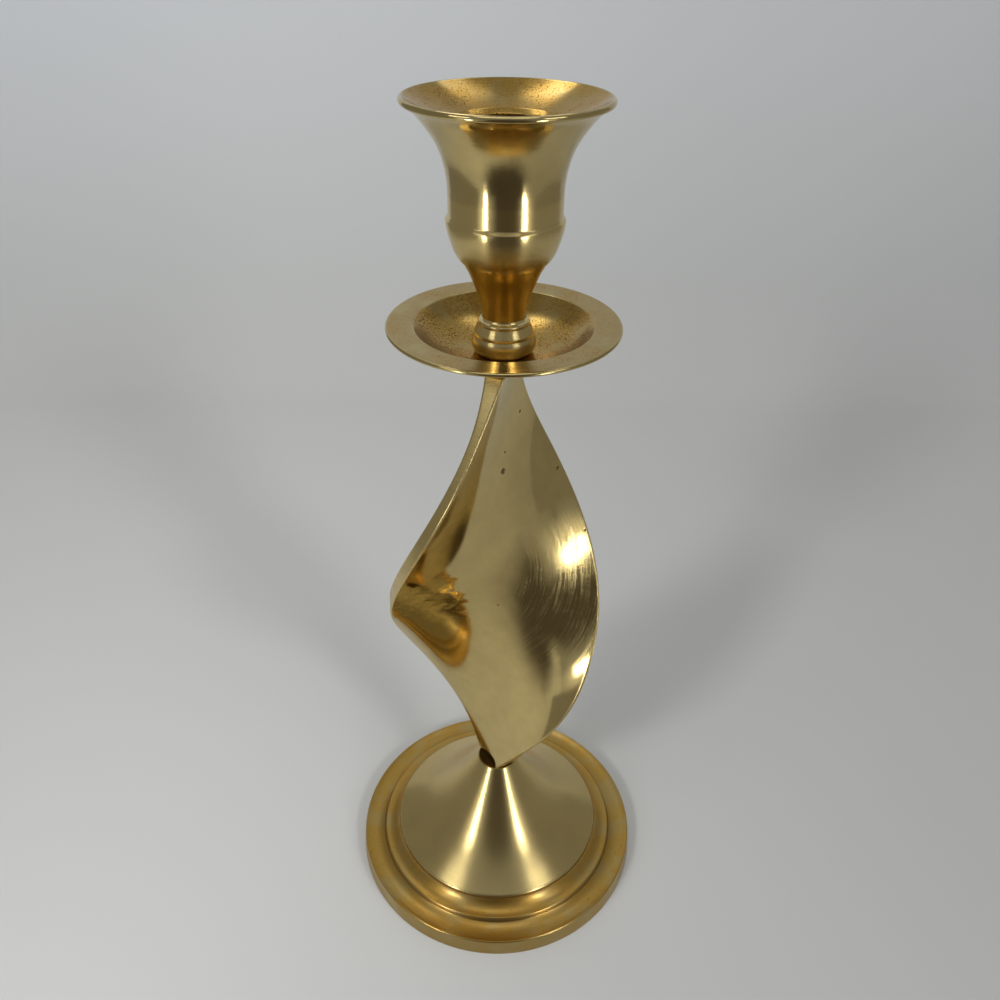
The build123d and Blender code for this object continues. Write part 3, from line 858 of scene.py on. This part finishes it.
class HOLDER_OT_cup(bpy.types.Operator):
    """Make the flared candle cup"""

    bl_idname = "holder.cup"
    bl_label = "Candle Cup"

    def execute(self, context):
        sizes = context.scene.holder_sizes
        made = turned("flared_candle_cup", eased(cup_outline(sizes), BRIGHT_EDGE, False), False)
        brass = lathe_brass("turned_cup_brass", context.scene.finish_colours, BUFFED_FLARE)
        finished(made, brass, "candle_cup")
        return {"FINISHED"}


def stage_piece(name, points, faces, material, only_in_metal=False):
    """A piece of the stage, which only the metal's reflections show where that is asked."""
    mesh = bpy.data.meshes.new(name)
    mesh.from_pydata(points, [], faces)
    mesh.materials.append(material)
    mesh.shade_smooth()
    made = placed(name, mesh)
    if only_in_metal:
        made.visible_camera = made.visible_diffuse = made.visible_shadow = False
    return made


def cloth(name, tone):
    """Smooth cotton cloth with no shine. It has a painted shadow to the right, deepest near the camera, and
    its upright part has a painted pale glow, brighter higher up and to the left, that only the camera and
    reflections see."""
    material, add = new_material(name)
    place = add("SeparateXYZ", [add("TexCoord").outputs["Object"]])
    # Painted shadow: the cloth's colour darkens to the right, most of all near the camera
    near = add("MapRange", [place.outputs["Y"], -60 * MM, 320 * MM, 0.3, 0.1])
    sideways = place.outputs["X"]
    right = add("MapRange", [sideways, -170 * MM, 170 * MM, 0, 1], interpolation_type="SMOOTHSTEP")
    shade = add("Math", [near, right], "MULTIPLY")
    level = add("Math", [1, shade], "SUBTRACT")
    level = add("VectorMath", {0: tone, "Scale": level}, "SCALE").outputs[0]
    matt = add("BsdfDiffuse", {"Color": level, "Roughness": 0.5})
    rays = add("LightPath")
    seen = add("Math", [rays.outputs["Is Camera Ray"], rays.outputs["Is Glossy Ray"]])
    # Painted light: a pale glow on the upright part, brighter higher up and to the left
    height = add("MapRange", [place.outputs["Z"], 0, 260 * MM, 0, 0.1])
    left = add("MapRange", [sideways, -350 * MM, 350 * MM, 1.3, 0.7])
    strength = add("Math", [height, left], "MULTIPLY")
    strength = add("Math", [strength, seen], "MULTIPLY")
    pale = add("Emission", {"Color": (*linear("#D0E3FF"), 1), "Strength": strength})
    both = add("AddShader", [matt, pale])
    add("OutputMaterial", {"Surface": both})
    return material


def glow(name, tone):
    """A card that glows with painted light of an even tone, whatever light falls on it."""
    material, add = new_material(name)
    even = add("Emission", {"Color": (*tone, 1), "Strength": 1})
    add("OutputMaterial", {"Surface": even})
    return material


def faded(name, tone, centre, reach, full):
    """A card that glows with painted light of an even tone out to the full share of its reach, which then
    fades to a wavy outline.
    """
    material, add = new_material(name)
    place = add("TexCoord").outputs["Object"]
    waves = add("TexNoise", {"Vector": place, "Scale": 1 / (70 * MM), "Detail": 2})
    shift = add("VectorMath", [waves.outputs["Color"], (0.5, 0.5, 0.5)], "SUBTRACT")
    shift = add("VectorMath", {0: shift, "Scale": 60 * MM}, "SCALE")
    shifted = add("VectorMath", [place, shift], "ADD")
    off = add("VectorMath", [shifted, centre], "SUBTRACT")
    scale = [1 / value if value else 0 for value in reach]
    share = add("VectorMath", [off, scale], "MULTIPLY")
    share = add("VectorMath", [share], "LENGTH").outputs["Value"]
    cover = add("MapRange", [share, 1.1, full, 0, 1], interpolation_type="SMOOTHSTEP")
    even = add("Emission", {"Color": (*tone, 1), "Strength": 1})
    clear = add("BsdfTransparent")
    both = add("MixShader", [cover, clear, even])
    add("OutputMaterial", {"Surface": both})
    return material


# The grey cards stand left and right of the floor between its front and the backdrop
FLOOR_FRONT, FLOOR_BACK = -265 * MM, 369 * MM
LEFT_CARD, RIGHT_CARD, CARD_TOP = -335 * MM, 430 * MM, 600 * MM
STAGE_REACH, STAGE_BEND = 1200 * MM, 60 * MM
CAMERA_PLACE = (-0.01 * MM, -191.5 * MM, 266.1 * MM)
CAMERA_DOWN, CAMERA_LEFT, CAMERA_ROLL = math.radians(34.07), math.radians(0.11), math.radians(0.77)
CAMERA_LENS = 31.98
# Lamps: centre, width and height in millimetres, lean in degrees, and brightness as a share of the front
# pair's
LAMPS = {
    "front_left_lamp": ((-154, -190, 128), 28, 52, 0, 1.0),
    "front_right_lamp": ((146, -196, 130), 28, 56, -25, 1.0),
    "high_left_lamp": ((-232, -181, 385), 120, 90, 0, 0.14),
    "high_right_lamp": ((232, -181, 385), 120, 90, 0, 0.14),
    "top_left_lamp": ((-85, 140, 480), 110, 80, 0, 0.16),
    "top_right_lamp": ((85, 140, 480), 110, 80, 0, 0.07),
    "over_lamp": ((0, -90, 560), 260, 130, 0, 0.09),
    "room_left_lamp": ((-480, -620, 640), 150, 150, 0, 1.9),
    "room_right_lamp": ((480, -620, 640), 150, 150, 0, 1.3),
}
# Lamps of the room, which are too far off to show in the metal
ROOM_LAMPS = "room_left_lamp", "room_right_lamp"
LAMP_AIM = (0, 0, 110)
FLOOR_GAP = 0.5 * MM
# A soft card's mesh goes this much further than its reach, so that its wavy outline fits
CARD_MARGIN = 1.6
# Soft cards: tone, centre, reach in x, y and z, which is 0 where a card is flat, and the share of the reach
# with the full tone
SOFT_CARDS = {
    "tall_dark_card": ("front_card", (12, -345, 145), (185, 0, 250), 0.55),
    "floor_dark_card": ("front_card", (0, -345, 0.5), (300, 260, 0), 0.55),
    # The glow cards are painted light: pale halos beside the front lamps, which only the metal shows
    "left_glow_card": ("glow_card", (-212, -205, 165), (100, 0, 140), 0.1),
    "right_glow_card": ("glow_card", (206, -205, 165), (80, 0, 130), 0.1),
}


def backdrop_sheet():
    """The floor and backdrop as one sheet: flat out to the bend, a quarter circle, then straight up."""
    turn = np.linspace(0, math.pi / 2, 24)
    y = np.concatenate(([-STAGE_REACH], FLOOR_BACK - STAGE_BEND + STAGE_BEND * np.sin(turn), [FLOOR_BACK]))
    z = np.concatenate(([0], STAGE_BEND * (1 - np.cos(turn)), [STAGE_REACH]))
    x = np.array([-STAGE_REACH, STAGE_REACH])
    points = np.stack(np.broadcast_arrays(x[None, :], y[:, None], z[:, None]), -1).reshape(-1, 3)
    row = 2 * np.arange(len(y) - 1)
    return points, np.stack((row, row + 1, row + 3, row + 2), 1).tolist()


def card(low, high):
    """Corners and face of a flat card between two opposite corners, which share one coordinate."""
    first, second = (axis for axis in range(3) if low[axis] != high[axis])
    corners = np.array([low] * 4, float)
    corners[1:3, first] = high[first]
    corners[2:, second] = high[second]
    return corners, [(0, 1, 2, 3)]


class HOLDER_OT_studio(bpy.types.Operator):
    """Make the camera, the pale floor and backdrop, the cards and the lamps"""

    bl_idname = "holder.studio"
    bl_label = "Studio"

    def execute(self, context):
        scene, studio = context.scene, context.scene.studio_settings
        stage_piece("floor_and_backdrop", *backdrop_sheet(), cloth("pale_cloth", studio.cloth))
        grey = glow("grey_card", studio.side_cards)
        for label, x in (("left_card", LEFT_CARD), ("right_card", RIGHT_CARD)):
            stage_piece(label, *card((x, FLOOR_FRONT, 0), (x, FLOOR_BACK, CARD_TOP)), grey, True)
        for label, (tone, centre, reach, full) in SOFT_CARDS.items():
            middle = Vector(centre) * MM
            outward = Vector(reach) * CARD_MARGIN * MM
            low, high = middle - outward, middle + outward
            low.z = max(low.z, FLOOR_GAP)
            soft = faded(label, getattr(studio, tone), middle, in_metres(reach), full)
            stage_piece(label, *card(low, high), soft, True)
        for label, (place, width, height, lean, share) in LAMPS.items():
            lamp = bpy.data.lights.new(label, "AREA")
            lamp.shape = "RECTANGLE"
            lamp.size, lamp.size_y = width * MM, height * MM
            lamp.energy = studio.lamp_glare * share * math.pi * lamp.size * lamp.size_y
            made = placed(label, lamp)
            made.location = Vector(place) * MM
            aim = (Vector(LAMP_AIM) - Vector(place)).to_track_quat("-Z", "Y")
            made.rotation_euler = (aim @ Quaternion((0, 0, 1), math.radians(lean))).to_euler()
            made.visible_camera = False
            made.visible_glossy = label not in ROOM_LAMPS
        world = bpy.data.worlds.new("surround")
        world.use_nodes = True
        world.node_tree.nodes["Background"].inputs["Color"].default_value = (*studio.surround, 1)
        scene.world = world
        camera = bpy.data.cameras.new("camera")
        camera.lens = CAMERA_LENS
        camera.clip_start = 10 * MM
        made = placed("camera", camera)
        turn = Matrix.Rotation(CAMERA_LEFT, 4, "Z") @ Matrix.Rotation(math.pi / 2 - CAMERA_DOWN, 4, "X")
        made.matrix_world = Matrix.Translation(CAMERA_PLACE) @ turn @ Matrix.Rotation(CAMERA_ROLL, 4, "Z")
        scene.camera = made
        scene.view_settings.view_transform = "Standard"
        return {"FINISHED"}


MAKERS = ("base", "fixings", "stem", "pan", "cup", "studio")


class HOLDER_PT_panel(bpy.types.Panel):
    """Lists the pieces, the sizes and the colours"""

    bl_idname = "HOLDER_PT_panel"
    bl_label = "Candle Holder"
    bl_space_type = "VIEW_3D"
    bl_region_type = "UI"
    bl_category = "Candle Holder"

    def draw(self, context):
        for maker in MAKERS:
            self.layout.operator("holder." + maker)
        for label in SETTINGS:
            group, box = getattr(context.scene, label), self.layout.box()
            for setting in group.__annotations__:
                box.prop(group, setting)


SETTINGS = {"holder_sizes": HolderSizes, "finish_colours": FinishColours, "studio_settings": StudioSettings}
CLASSES = (
    *SETTINGS.values(),
    HOLDER_OT_base,
    HOLDER_OT_fixings,
    HOLDER_OT_stem,
    HOLDER_OT_pan,
    HOLDER_OT_cup,
    HOLDER_OT_studio,
    HOLDER_PT_panel,
)


def register():
    """Adds the classes and gives the scene its settings."""
    for made in CLASSES:
        bpy.utils.register_class(made)
    for label, group in SETTINGS.items():
        setattr(bpy.types.Scene, label, PointerProperty(type=group))


def unregister():
    """Removes the settings and the classes."""
    for label in SETTINGS:
        delattr(bpy.types.Scene, label)
    for made in reversed(CLASSES):
        bpy.utils.unregister_class(made)


def main():
    register()
    for maker in MAKERS:
        getattr(bpy.ops.holder, maker)()


if __name__ == "__main__":
    main()
